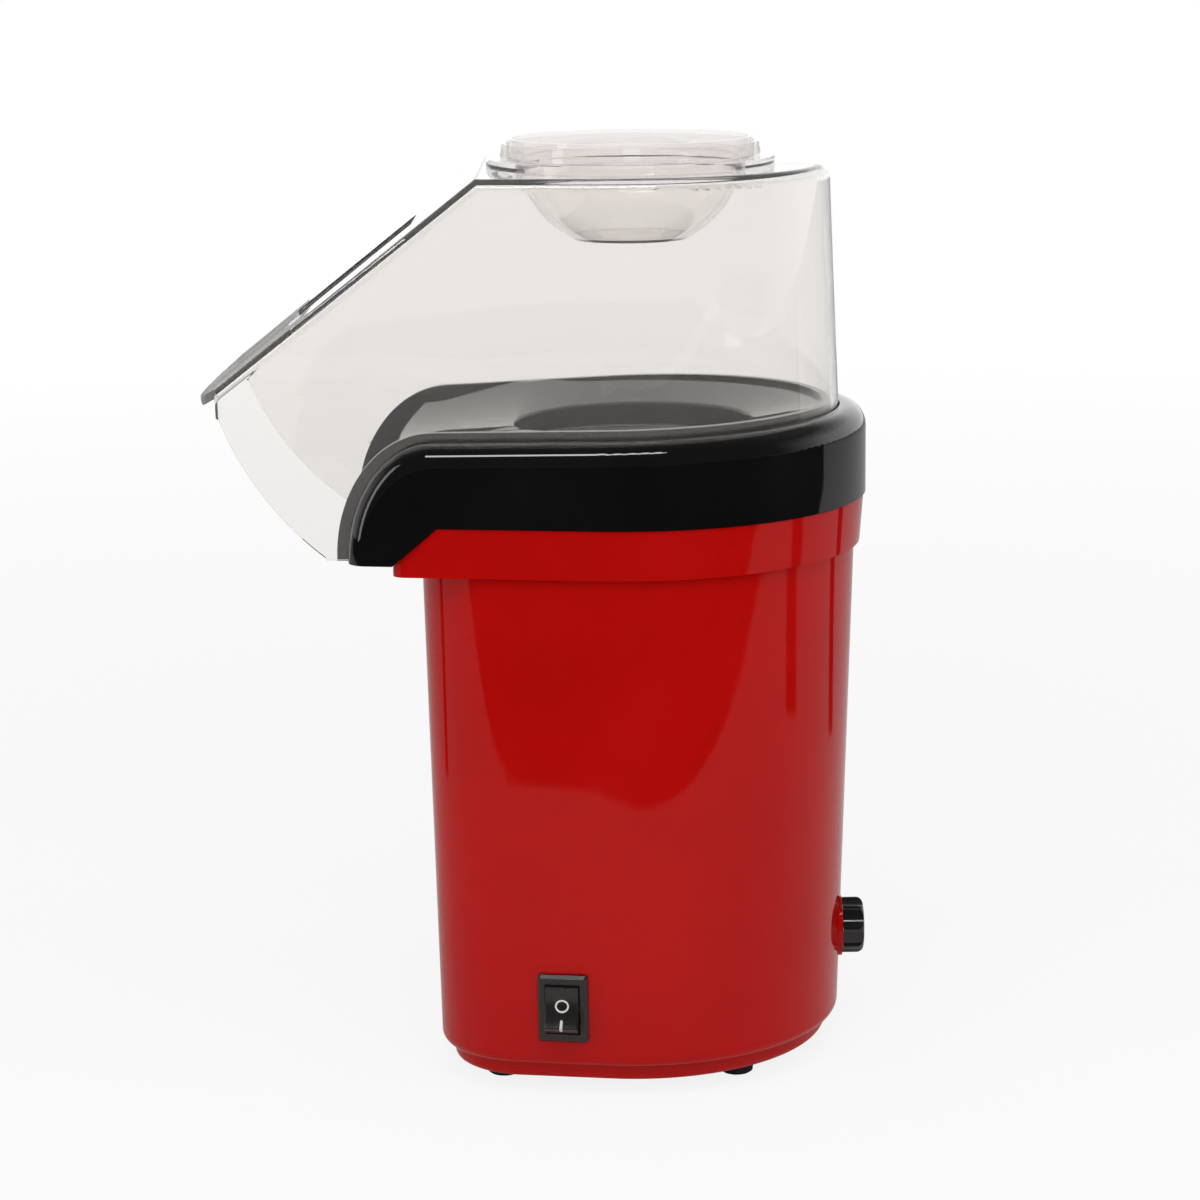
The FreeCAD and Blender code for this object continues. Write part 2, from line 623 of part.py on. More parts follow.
def panel():
    """Shallow bare panel in the slanted plate."""
    middle = (PANEL_FROM[0] + PANEL_FROM[1]) / 2
    length = (PANEL_FROM[1] - PANEL_FROM[0]) / math.cos(math.radians(LID_SLOPE))
    recess = Part.makeBox(PANEL_WIDTH, length, 2 * PANEL_DEPTH,
                          V(-PANEL_WIDTH / 2, -length / 2, -PANEL_DEPTH))
    recess = recess.makeFillet(5.0, [edge for edge in recess.Edges if abs(edge.tangentAt(0).z) > 0.9])
    recess.Placement = FreeCAD.Placement(V(0, middle, slope_z(middle)),
                                         FreeCAD.Rotation(V(1, 0, 0), LID_SLOPE))
    return recess


def measuring_cup():
    """Clear cup that closes the ring: a short wall, a step that rests on the lid, and a round bowl."""
    step = PLATEAU_TOP + GAP
    wall = CUP_WALL
    outer = [V(CUP_RADIUS, 0, CUP_TOP), V(CUP_RADIUS, 0, step), V(CUP_BOWL_RADIUS, 0, step),
             V(CUP_BOWL_RADIUS, 0, PLATEAU_TOP - 1)]
    inner = [V(CUP_BOWL_RADIUS - wall, 0, PLATEAU_TOP - 1), V(CUP_BOWL_RADIUS - wall, 0, step + wall),
             V(CUP_RADIUS - wall, 0, step + wall), V(CUP_RADIUS - wall, 0, CUP_TOP)]
    belly_r, belly_z = CUP_BELLY
    bowl_out = Part.Arc(outer[-1], V(belly_r, 0, belly_z), V(CUP_FLOOR_RADIUS, 0, CUP_FLOOR_Z)).toShape()
    floor_in = V(CUP_FLOOR_RADIUS, 0, CUP_FLOOR_Z + wall)
    bowl_in = Part.Arc(floor_in, V(belly_r - wall * 0.8, 0, belly_z + wall * 0.7), inner[0]).toShape()
    low = V(0, 0, CUP_FLOOR_Z)
    high = V(0, 0, CUP_FLOOR_Z + wall)
    edges = [Part.makeLine(a, b) for a, b in zip(outer, outer[1:])]
    edges += [bowl_out, Part.makeLine(V(CUP_FLOOR_RADIUS, 0, CUP_FLOOR_Z), low), Part.makeLine(low, high),
              Part.makeLine(high, floor_in), bowl_in]
    edges += [Part.makeLine(a, b) for a, b in zip(inner, inner[1:])]
    edges.append(Part.makeLine(inner[-1], outer[0]))
    return Part.Face(Part.Wire(edges)).revolve(V(), V(0, 0, 1), 360)


# Hot-air unit -------------------------------------------------------------------------------------

def flange_screw_places():
    return [(FLANGE_SCREWS * math.cos(math.radians(angle)), FLANGE_SCREWS * math.sin(math.radians(angle)))
            for angle in (90, 210, 330)]


def with_screw_holes(shape):
    for x, y in flange_screw_places():
        shape = shape.cut(rod(SCREW_SHANK + GAP, 0, 2 * FAR, x, y))
    return shape


def popping_chamber():
    """Deep aluminium cup that hangs under the hole, with slanting air slots low in its wall."""
    wall = CHAMBER_WALL
    outer = CHAMBER_RADIUS + wall
    top = DECK_LOW
    cup = lathe([(0, CHAMBER_LOW + CHAMBER_CROWN), (outer - 10, CHAMBER_LOW), (outer - 4, CHAMBER_LOW),
                 (outer, CHAMBER_LOW + 4), (outer, top - wall), (FLANGE_RADIUS, top - wall),
                 (FLANGE_RADIUS, top), (CHAMBER_RADIUS, top), (CHAMBER_RADIUS, CHAMBER_LOW + 4.4),
                 (outer - 4.4, CHAMBER_LOW + wall), (outer - 10, CHAMBER_LOW + wall),
                 (0, CHAMBER_LOW + CHAMBER_CROWN + wall)])
    width, height = SLOT_SIZE
    slot = box(3 * wall, width, height, V())
    slot.rotate(V(), V(1, 0, 0), SLOT_TILT)
    slot.translate(V(CHAMBER_RADIUS, 0, SLOT_Z))
    cup = cup.cut([spun(slot, 360 / SLOT_COUNT * index) for index in range(SLOT_COUNT)])
    return with_screw_holes(cup)


def heater_sleeve():
    """Steel sleeve round the chamber that leads the hot air up to its slots."""
    top = DECK_LOW - FLANGE_THICK
    outer = SLEEVE_RADIUS + SLEEVE_WALL
    sleeve = tube(outer, SLEEVE_RADIUS, SLEEVE_LOW, top)
    flange = tube(FLANGE_RADIUS, SLEEVE_RADIUS, top - SLEEVE_WALL, top)
    return without_duct_screws(with_screw_holes(sleeve.fuse(flange))).removeSplitter()


def chamber_screws():
    head = DECK_LOW - FLANGE_THICK - SLEEVE_WALL
    return [screw(V(x, y, head), V(0, 0, 1), 6) for x, y in flange_screw_places()]


def fan_duct():
    """Moulded drum under the sleeve: the fan runs in it and the motor hangs from its floor."""
    outer = SLEEVE_RADIUS + SLEEVE_WALL
    low = DUCT_FLOOR
    drum = tube(outer, SLEEVE_RADIUS - DUCT_WALL, low, SLEEVE_LOW)
    drum = drum.fuse(tube(SLEEVE_RADIUS, SLEEVE_RADIUS - DUCT_WALL, low, SLEEVE_LOW + DUCT_SPIGOT))
    floor = tube(SLEEVE_RADIUS, MOTOR_NOSE + GAP, low, low + DUCT_FLOOR_THICK)
    intake = tube(INTAKE_RADIUS, INTAKE_HUB, low - 1, low + DUCT_FLOOR_THICK + 1)
    for angle in (0, 120, 240):
        intake = intake.cut(spun(box(2 * FAR, INTAKE_SPOKE, 20, V(FAR, 0, low)), angle))
    drum = drum.fuse(floor.cut(intake))
    for x, y in motor_screw_places():
        drum = drum.cut(rod(SCREW_SHANK + GAP, low - 1, low + 10, x, y))
    return without_duct_screws(drum).removeSplitter()


def duct_screws():
    """Short screws through the sleeve into the drum's upright edge."""
    outer = SLEEVE_RADIUS + SLEEVE_WALL
    return [screw(out * outer + V(0, 0, DUCT_SCREW_Z), out * -1, SLEEVE_WALL + DUCT_WALL)
            for out in duct_screw_ways()]


def duct_screw_ways():
    return [spun(Part.Vertex(1, 0, 0), angle).Point for angle in (30, 150, 270)]


def without_duct_screws(shape):
    for out in duct_screw_ways():
        shape = shape.cut(Part.makeCylinder(SCREW_SHANK, FAR, out * HOLE_RADIUS + V(0, 0, DUCT_SCREW_Z), out))
    return shape


def motor_screw_places():
    return [(MOTOR_SCREWS, 0), (-MOTOR_SCREWS, 0)]


def motor_can():
    top = DUCT_FLOOR
    can = rod(MOTOR_RADIUS, top - MOTOR_LENGTH, top)
    can = can.makeFillet(1.5, [edge for edge in can.Edges if edge.BoundBox.ZMin > top - 0.01
                               and edge.Length > MOTOR_RADIUS])
    can = can.fuse(rod(MOTOR_NOSE, top, top + DUCT_FLOOR_THICK))
    can = can.cut(rod(SHAFT_RADIUS + SLIP, top - 14, top + 20))
    for x, y in motor_screw_places():
        can = can.cut(rod(SCREW_SHANK, top - 5, top + 1, x, y))
    return can.removeSplitter()


def motor_cap():
    """Plastic end bell under the can, with its two brush terminals' slots."""
    high = DUCT_FLOOR - MOTOR_LENGTH
    cap = rod(MOTOR_RADIUS - 0.8, high - CAP_LENGTH, high)
    cap = cap.fuse(rod(5.0, high - CAP_LENGTH - 1.5, high - CAP_LENGTH))
    for side in (-1, 1):
        cap = cap.cut(box(0.8, 3.0, CAP_LENGTH, V(side * 11, 0, high - CAP_LENGTH)))
    return cap.removeSplitter()


def rectifier_board():
    """Small round board below the motor's end bell, with its four diodes."""
    high = DUCT_FLOOR - MOTOR_LENGTH - CAP_LENGTH - 1.5
    return [rod(BOARD_RADIUS, high - 1.6, high)]


def rectifier_diodes():
    high = DUCT_FLOOR - MOTOR_LENGTH - CAP_LENGTH - 1.5 - 1.6
    diode = Part.makeCylinder(1.4, 5.0, V(8, -2.5, high - 1.4), V(0, 1, 0))
    return [spun(diode, 45 + 90 * index) for index in range(4)]


def motor_shaft():
    return rod(SHAFT_RADIUS, DUCT_FLOOR - 12, FAN_LOW + FAN_BLADE + 1)


def motor_screws():
    z = DUCT_FLOOR + DUCT_FLOOR_THICK
    return [screw(V(x, y, z), V(0, 0, -1), DUCT_FLOOR_THICK + 4) for x, y in motor_screw_places()]


def fan():
    """Centrifugal fan: hub, back plate and curved blades."""
    high = FAN_LOW + FAN_BLADE
    wheel = rod(FAN_HUB, FAN_LOW, high).fuse(rod(FAN_RADIUS, high - FAN_PLATE, high))
    reach = FAN_RADIUS * 0.5
    blade = tube(reach, reach - 1.4, FAN_LOW, high, FAN_RADIUS * 0.55, 0)
    blade = blade.common(box(FAR, FAR, FAR, V(0, FAR / 2, FAN_LOW)))
    blade = blade.common(tube(FAN_RADIUS, FAN_HUB + 6, FAN_LOW, high))
    wheel = wheel.fuse([spun(blade, 360 / FAN_BLADES * index) for index in range(FAN_BLADES)])
    return wheel.cut(rod(SHAFT_RADIUS, 0, 2 * FAR)).removeSplitter()


def coil_path():
    """Flat spiral of half circles that step outwards."""
    edges = []
    radius = COIL_INNER
    start_y = -radius
    for turn in range(COIL_TURNS):
        direction = 1 if turn % 2 == 0 else -1
        centre_y = start_y + direction * radius
        end_y = start_y + direction * 2 * radius
        edges.append(Part.Arc(V(0, start_y, HEATER_Z), V(direction * radius, centre_y, HEATER_Z),
                              V(0, end_y, HEATER_Z)).toShape())
        start_y = end_y
        radius += COIL_STEP / 2
    return Part.Wire(edges)


def heater_coil(play=0.0):
    path = coil_path()
    start = path.Edges[0].valueAt(path.Edges[0].FirstParameter)
    profile = Part.Wire([Part.makeCircle(COIL_RADIUS + play, start, V(1, 0, 0))])
    return path.makePipeShell([profile], True, False)


def mica_frame():
    """Two mica plates slotted together that carry the coil."""
    reach = SLEEVE_RADIUS - DUCT_WALL - GAP
    plate = box(2 * reach, MICA_THICK, 2 * HEATER_HALF, V(0, 0, HEATER_Z))
    cross = plate.fuse(spun(plate, 90)).removeSplitter()
    ledge = tube(SLEEVE_RADIUS - GAP / 3, reach - 3, SLEEVE_LOW + DUCT_SPIGOT, SLEEVE_LOW + DUCT_SPIGOT + 1)
    return cross.cut(heater_coil(SLIP)).fuse(ledge).removeSplitter()


def thermostat():
    """Bimetal disc thermostat held on the sleeve by its strap."""
    out = V(-math.sin(math.radians(60)), math.cos(math.radians(60)), 0)
    face = SLEEVE_RADIUS + SLEEVE_WALL
    body = Part.makeCylinder(7.0, 6.0, V(0, 0, 0))
    body = body.fuse(Part.makeCylinder(5.5, 3.0, V(0, 0, 6.0)))
    for side in (-1, 1):
        body = body.fuse(box(0.8, 5.0, 9.0, V(side * 5.0 + side * 1.5, 0, 6.0)))
    body.Placement = FreeCAD.Placement(out * (face - 0.2) + V(0, 0, 140), FreeCAD.Rotation(V(0, 0, 1), out))
    return body.cut(rod(face, 0, 2 * FAR)).removeSplitter()


def thermal_fuse():
    """Thermal cut-out in its sleeve, lying upright on the heater sleeve."""
    out = V(-math.sin(math.radians(95)), math.cos(math.radians(95)), 0)
    face = SLEEVE_RADIUS + SLEEVE_WALL
    place = out * (face + 1.9)
    fuse = rod(2.0, 128, 146, place.x, place.y)
    fuse = fuse.fuse(rod(0.6, 120, 154, place.x, place.y))
    return fuse.cut(rod(face, 0, 2 * FAR)).removeSplitter()


# Rocker switch ------------------------------------------------------------------------------------

def switch_frame():
    """Placement on the +X wall: local X along the wall, local Y up, local Z outwards."""
    side = outward()
    radius = body_plan(SWITCH_Z)[0]
    along = V(-side.y, side.x, 0)
    run = (SWITCH_Y - side.y * radius) / along.y
    origin = side * radius + along * run + V(0, 0, SWITCH_Z)
    tilt = math.atan(BODY_DRAFT)
    out = side * math.cos(tilt) - V(0, 0, math.sin(tilt))
    up = out.cross(along)
    return FreeCAD.Placement(origin, FreeCAD.Rotation(along, up, out, "ZXY"))


def place_switch(shape):
    shape = shape.copy()
    shape.Placement = switch_frame().multiply(shape.Placement)
    return shape


def rocker_cut():
    """Room that the rocker swings in."""
    width, radius = ROCKER_SIZE
    width += 2 * GAP
    pivot = BEZEL_PROUD - ROCKER_PIVOT
    room = Part.makeCylinder(radius + GAP, width, V(-width / 2, 0, pivot), V(1, 0, 0))
    return room.fuse(box(width, 2 * (radius + GAP), 10, V(0, 0, pivot + 5)))


def switch_housing():
    """Bezel and body in one moulding, pushed through the wall from outside and held by two wedges."""
    width, height = BEZEL_SIZE
    bezel = box(width, height, BEZEL_PROUD, V(0, 0, BEZEL_PROUD / 2))
    corners = [edge for edge in bezel.Edges if abs(edge.tangentAt(0).z) > 0.9]
    bezel = bezel.makeFillet(1.0, corners)
    rim = [edge for edge in bezel.Edges if edge.BoundBox.ZMin > BEZEL_PROUD - 0.01]
    bezel = bezel.makeChamfer(BEZEL_BEVEL, rim)
    body_width, body_height = SWITCH_BODY
    body = box(body_width, body_height, SWITCH_DEPTH, V(0, 0, -SWITCH_DEPTH / 2))
    housing_shape = bezel.fuse(body).cut(rocker_cut())
    pivot = BEZEL_PROUD - ROCKER_PIVOT
    hole = Part.makeCylinder(PIVOT_PIN + SLIP, 12.2, V(-6.1, 0, pivot), V(1, 0, 0))
    for side in (-1, 1):
        wedge = Part.Face(Part.makePolygon([V(-2, side * body_height / 2, -3.6),
                                            V(-2, side * (body_height / 2 + 0.9), -3.6),
                                            V(-2, side * body_height / 2, -8),
                                            V(-2, side * body_height / 2, -3.6)])).extrude(V(4, 0, 0))
        housing_shape = housing_shape.fuse(wedge)
    return place_switch(housing_shape.cut(hole).removeSplitter())


def switch_rocker():
    """Rocker with round ends about its pivot and a face that dips at its middle, lower end pressed in."""
    width, radius = ROCKER_SIZE
    half = math.sqrt(radius ** 2 - ROCKER_FACE ** 2)
    face = Part.Arc(V(-width / 2, half, ROCKER_FACE), V(-width / 2, 0, ROCKER_FACE - ROCKER_DIP),
                    V(-width / 2, -half, ROCKER_FACE)).toShape()
    end_angle = math.atan2(ROCKER_FACE, half) / 2 - math.radians(8)
    ends = []
    for side in (-1, 1):
        foot = V(-width / 2, side * radius * math.cos(math.radians(-16)), radius * math.sin(math.radians(-16)))
        middle = V(-width / 2, side * radius * math.cos(end_angle), radius * math.sin(end_angle))
        corner = V(-width / 2, side * half, ROCKER_FACE)
        ends.append((foot, Part.Arc(corner, middle, foot).toShape()))
    base = Part.makeLine(ends[0][0], ends[1][0])
    blank = Part.Face(Part.Wire([face, ends[1][1], base, ends[0][1]])).extrude(V(width, 0, 0))
    front = [edge for edge in blank.Edges if edge.BoundBox.ZMin > ROCKER_FACE - ROCKER_DIP - 0.01]
    blank = blank.makeFillet(0.4, front)
    pin = Part.makeCylinder(PIVOT_PIN, width + 2.0, V(-width / 2 - 1.0, 0, 0), V(1, 0, 0))
    blank = blank.fuse(pin).removeSplitter()
    blank.rotate(V(), V(1, 0, 0), -ROCKER_REST)
    blank.translate(V(0, 0, BEZEL_PROUD - ROCKER_PIVOT))
    return place_switch(blank)


def switch_terminals():
    """Two blades that the leads push on to."""
    shapes = []
    for height in (-5.0, 5.0):
        blade = box(4.8, 0.8, 9.0, V(0, height, -SWITCH_DEPTH - 4.5))
        blade = blade.cut(Part.makeCylinder(0.8, 4, V(0, height - 2, -SWITCH_DEPTH - 6), V(0, 1, 0)))
        shapes.append(place_switch(blade))
    return shapes


# Knob and control ---------------------------------------------------------------------------------

def back_cylinder(radius, low, high):
    return Part.makeCylinder(radius, high - low, V(0, low, KNOB_Z), V(0, 1, 0))


def control_knob():
    """Scalloped knob with a recess behind that covers the nut."""
    front = PAD_FACE + GAP
    knob = back_cylinder(KNOB_RADIUS, front, KNOB_BACK)
    knob = knob.makeFillet(KNOB_ROUND, [edge for edge in knob.Edges if edge.BoundBox.YMin > KNOB_BACK - 0.01
                                        and edge.Length > KNOB_RADIUS])
    pitch = math.pi / KNOB_SCALLOPS
    half = KNOB_RADIUS * math.sin(pitch) - KNOB_RIDGE / 2
    hollow = back_cylinder(KNOB_SCALLOP, front - 1, KNOB_BACK + 1)
    hollow.translate(V(KNOB_RADIUS * math.cos(pitch) + math.sqrt(KNOB_SCALLOP ** 2 - half ** 2), 0, 0))
    for index in range(KNOB_SCALLOPS):
        turned = hollow.copy()
        turned.rotate(V(0, 0, KNOB_Z), V(0, -1, 0), KNOB_TURN + math.degrees(pitch) * (2 * index + 1))
        knob = knob.cut(turned)
    knob = knob.cut(back_cylinder(NUT_RADIUS + GAP, front - 1, PAD_FACE + NUT_THICK + 2 * GAP))
    bore = control_stem()
    return knob.cut(bore).removeSplitter()


def control_stem():
    """Spindle with a flat that the knob pushes on to."""
    stem = back_cylinder(STEM_RADIUS, PAD_FACE - 14, KNOB_BACK - 1.4)
    flat = box(20, 20, 20, V(0, PAD_FACE + 10 + NUT_THICK, KNOB_Z + STEM_FLAT + 10))
    return stem.cut(flat)


def control_body():
    """Rotary heat control behind the wall: a round case and a threaded bush through the wall."""
    seat = body_plan(KNOB_Z)[0] - BODY_WALL - PAD_STEP
    case = back_cylinder(CONTROL_RADIUS, seat - CONTROL_LENGTH, seat)
    case = case.fuse(back_cylinder(BUSH_RADIUS, seat, PAD_FACE + NUT_THICK))
    case = case.cut(back_cylinder(STEM_RADIUS + SLIP, PAD_FACE - 14.2, FAR))
    for side in (-1, 1):
        blade = box(0.8, 8.0, 4.8, V(side * 6, seat - CONTROL_LENGTH - 4, KNOB_Z))
        case = case.fuse(blade)
    return case.removeSplitter()


def control_nut():
    hexagon = [V(NUT_RADIUS * math.cos(math.radians(60 * k)), PAD_FACE,
                 KNOB_Z + NUT_RADIUS * math.sin(math.radians(60 * k))) for k in range(7)]
    nut = Part.Face(Part.makePolygon(hexagon)).extrude(V(0, NUT_THICK, 0))
    return nut.cut(back_cylinder(BUSH_RADIUS, 0, FAR))


# Cord inlet ---------------------------------------------------------------------------------------

def place_inlet(shape):
    """Puts a shape drawn about local Z on the back wall, Z outwards."""
    turn = math.radians(INLET_ANGLE)
    out = V(-math.sin(turn), math.cos(turn), 0)
    shape = shape.copy()
    place = FreeCAD.Placement(out * body_plan(INLET_Z)[0] + V(0, 0, INLET_Z),
                              FreeCAD.Rotation(V(0, 0, 1), out))
    shape.Placement = place.multiply(shape.Placement)
    return shape


def cord_inlet():
    """Bush that the cord would enter through: a flange outside and a collar behind the wall."""
    sag = 1.0
    high = INLET_FLANGE_THICK + sag
    bush = Part.makeCylinder(INLET_FLANGE, high, V())
    bush = bush.makeFillet(1.2, [edge for edge in bush.Edges if edge.BoundBox.ZMin > high - 0.01
                                 and edge.Length > INLET_FLANGE])
    bush = bush.fuse(Part.makeCylinder(INLET_NECK, INLET_LENGTH, V(0, 0, high - INLET_LENGTH)))
    bush = bush.cut(Part.makeCylinder(INLET_BORE, 3 * INLET_LENGTH, V(0, 0, -2 * INLET_LENGTH)))
    bush = place_inlet(bush)
    flange_room = plan_taper(body_plan(BODY_LOW), BODY_LOW, body_plan(BODY_TOP), BODY_TOP)
    neck = place_inlet(Part.makeCylinder(INLET_NECK, 60, V(0, 0, -30)))
    return bush.cut(flange_room.cut(neck)).removeSplitter()


# Assembly -----------------------------------------------------------------------------------------

PIECES = {
    "housing": housing,
    "base_tray": base_tray,
    "feet": feet,
    "base_screws": base_screws,
    "chute_collar": chute_collar,
    "collar_screws": collar_screws,
    "lid": lid,
    "measuring_cup": measuring_cup,
    "popping_chamber": popping_chamber,
    "heater_sleeve": heater_sleeve,
    "chamber_screws": chamber_screws,
    "fan_duct": fan_duct,
    "duct_screws": duct_screws,
    "motor_can": motor_can,
    "motor_cap": motor_cap,
    "motor_shaft": motor_shaft,
    "motor_screws": motor_screws,
    "fan": fan,
    "rectifier_board": rectifier_board,
    "rectifier_diodes": rectifier_diodes,
    "heater_coil": heater_coil,
    "mica_frame": mica_frame,
    "thermostat": thermostat,
    "thermal_fuse": thermal_fuse,
    "switch_housing": switch_housing,
    "switch_rocker": switch_rocker,
    "switch_terminals": switch_terminals,
    "control_knob": control_knob,
    "control_stem": control_stem,
    "control_body": control_body,
    "control_nut": control_nut,
    "cord_inlet": cord_inlet,
}


def export(name, made):
    """Writes one piece, or a group of like pieces, to its own file."""
    shape = Part.makeCompound(made) if isinstance(made, list) else made
    shape.translate(V(0, AXIS_Y, 0))
    shape.exportStep(os.path.join("parts", name + ".step"))
    solids = shape.Solids
    bounds = shape.BoundBox
    print(name, len(solids), "solid(s), valid", shape.isValid(), "volume", round(shape.Volume / 1000, 2),
          "cm3, z", round(bounds.ZMin, 2), "to", round(bounds.ZMax, 2))


os.makedirs("parts", exist_ok=True)
for piece_name, make in PIECES.items():
    export(piece_name, make())
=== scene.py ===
import json
import math

import bmesh
import bpy
from mathutils import Matrix, Vector
from mathutils.bvhtree import BVHTree


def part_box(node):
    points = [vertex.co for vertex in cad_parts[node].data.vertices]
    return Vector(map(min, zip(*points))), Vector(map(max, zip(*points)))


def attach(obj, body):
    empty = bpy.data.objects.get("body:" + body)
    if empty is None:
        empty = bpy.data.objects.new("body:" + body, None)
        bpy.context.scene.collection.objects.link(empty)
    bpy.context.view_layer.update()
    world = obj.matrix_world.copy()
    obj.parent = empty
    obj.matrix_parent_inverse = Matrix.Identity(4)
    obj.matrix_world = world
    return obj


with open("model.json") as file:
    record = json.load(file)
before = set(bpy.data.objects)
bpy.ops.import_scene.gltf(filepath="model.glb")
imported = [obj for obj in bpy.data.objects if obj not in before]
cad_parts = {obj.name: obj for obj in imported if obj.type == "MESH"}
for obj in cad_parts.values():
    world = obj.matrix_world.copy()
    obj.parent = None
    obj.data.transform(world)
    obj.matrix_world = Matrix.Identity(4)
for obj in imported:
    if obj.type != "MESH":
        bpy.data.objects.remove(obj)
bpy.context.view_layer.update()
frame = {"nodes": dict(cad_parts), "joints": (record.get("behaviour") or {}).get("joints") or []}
nodes = frame["nodes"]
scene = bpy.context.scene
scene.view_settings.view_transform = "Standard"


# Table top ----------------------------------------------------------------------------------------
# The popcorn maker stands on a plain pale table top that runs on as the backdrop.
# Painted board, matt, seamless.

TABLE_REACH = 8.0
TABLE_COLOUR = (0.86, 0.86, 0.85, 1)
TABLE_GLOW = (0.86, 1.0)        # share of plain white that the eye sees of it, near and far
TABLE_FADE = (0.35, 1.6)        # distances from the appliance for those shares


def empty_material(name):
    """A node material with nothing in it but its output."""
    material = bpy.data.materials.new(name)
    material.use_nodes = True
    material.node_tree.nodes.clear()
    output = material.node_tree.nodes.new("ShaderNodeOutputMaterial")
    return material, material.node_tree.nodes, material.node_tree.links, output


def seen_directly(tree_nodes, links):
    """1 for rays from the eye and through clear plastic, and 0 for the rest."""
    path = tree_nodes.new("ShaderNodeLightPath")
    either = tree_nodes.new("ShaderNodeMath")
    either.operation = "MAXIMUM"
    links.new(path.outputs["Is Camera Ray"], either.inputs[0])
    links.new(path.outputs["Is Transmission Ray"], either.inputs[1])
    return either.outputs[0]


table_material, tree, links, output = empty_material("painted_table")
matt = tree.new("ShaderNodeBsdfDiffuse")
matt.inputs["Color"].default_value = TABLE_COLOUR
glow = tree.new("ShaderNodeEmission")
seen = seen_directly(tree, links)
place = tree.new("ShaderNodeTexCoord")
distance = tree.new("ShaderNodeVectorMath")
distance.operation = "LENGTH"
links.new(place.outputs["Object"], distance.inputs[0])
fade = tree.new("ShaderNodeMapRange")
fade.inputs["From Min"].default_value, fade.inputs["From Max"].default_value = TABLE_FADE
fade.inputs["To Min"].default_value, fade.inputs["To Max"].default_value = TABLE_GLOW
links.new(distance.outputs["Value"], fade.inputs["Value"])
share = tree.new("ShaderNodeMath")
share.operation = "MULTIPLY"
links.new(fade.outputs["Result"], share.inputs[1])
links.new(seen, share.inputs[0])
blend = tree.new("ShaderNodeMixShader")
links.new(share.outputs[0], blend.inputs[0])
links.new(matt.outputs[0], blend.inputs[1])
links.new(glow.outputs[0], blend.inputs[2])
links.new(blend.outputs[0], output.inputs["Surface"])

table_mesh = bpy.data.meshes.new("table_top")
half = TABLE_REACH / 2
table_mesh.from_pydata([(-half, -half, 0), (half, -half, 0), (half, half, 0), (-half, half, 0)], [],
                       [(0, 1, 2, 3)])
table_mesh.materials.append(table_material)
table_top = bpy.data.objects.new("table_top", table_mesh)
scene.collection.objects.link(table_top)


# Studio -------------------------------------------------------------------------------------------
# A pale backdrop stands behind the appliance and a darker room lies in front of it. Softboxes hang above and
# in front, strip lights stand at both ends, and black cards on the table top keep the near side plain.

BACKDROP_LIGHT = 1.25
ROOM_LIGHT = 0.07
CEILING_LIGHT = 0.16
SOFT_LIGHT = 0.36
BACKDROP_EDGE = (-0.35, 0.25)   # how far round to the front the backdrop fades into the room
THROUGH_CLEAR = 0.97            # what shows through the clear plastic, all round
BACKDROP_TOP = (0.30, 0.62)     # how high up it fades into the ceiling

world = bpy.data.worlds.new("studio")
scene.world = world
world.use_nodes = True
tree = world.node_tree.nodes
links = world.node_tree.links
tree.clear()
output = tree.new("ShaderNodeOutputWorld")
place = tree.new("ShaderNodeTexCoord")
split = tree.new("ShaderNodeSeparateXYZ")
links.new(place.outputs["Generated"], split.inputs[0])


def fading(source, span, first, last):
    """A value that runs from first to last over a span of the source."""
    fade = tree.new("ShaderNodeMapRange")
    fade.inputs["From Min"].default_value, fade.inputs["From Max"].default_value = span
    fade.inputs["To Min"].default_value = first
    fade.inputs["To Max"].default_value = last
    links.new(source, fade.inputs["Value"])
    return fade.outputs["Result"]


def chosen(share, otherwise, chosen_value):
    """Mixes two values, each a socket or a number."""
    mix = tree.new("ShaderNodeMix")
    links.new(share, mix.inputs["Factor"])
    for socket, value in (("A", otherwise), ("B", chosen_value)):
        if isinstance(value, float):
            mix.inputs[socket].default_value = value
        else:
            links.new(value, mix.inputs[socket])
    return mix.outputs["Result"]


path = tree.new("ShaderNodeLightPath")
all_round = fading(split.outputs["Z"], BACKDROP_TOP, BACKDROP_LIGHT, CEILING_LIGHT)
behind = fading(split.outputs["X"], BACKDROP_EDGE, 1.0, 0.0)
light = chosen(behind, ROOM_LIGHT, all_round)
light = chosen(path.outputs["Is Transmission Ray"], light, THROUGH_CLEAR)
light = chosen(path.outputs["Is Diffuse Ray"], light, SOFT_LIGHT)
light = chosen(path.outputs["Is Camera Ray"], light, 1.0)
background = tree.new("ShaderNodeBackground")
links.new(light, background.inputs["Color"])
links.new(background.outputs[0], output.inputs["Surface"])


def softbox(name, place, aim, size, power, in_gloss, in_light):
    """A rectangular studio lamp: its width lies level and its height stands up."""
    lamp = bpy.data.lights.new(name, "AREA")
    lamp.shape = "RECTANGLE"
    lamp.size, lamp.size_y = size
    lamp.energy = power
    box = bpy.data.objects.new(name, lamp)
    box.location = place
    box.rotation_euler = (Vector(aim) - Vector(place)).to_track_quat("-Z", "Y").to_euler()
    box.visible_glossy = in_gloss
    box.visible_diffuse = in_light
    box.visible_transmission = False
    scene.collection.objects.link(box)


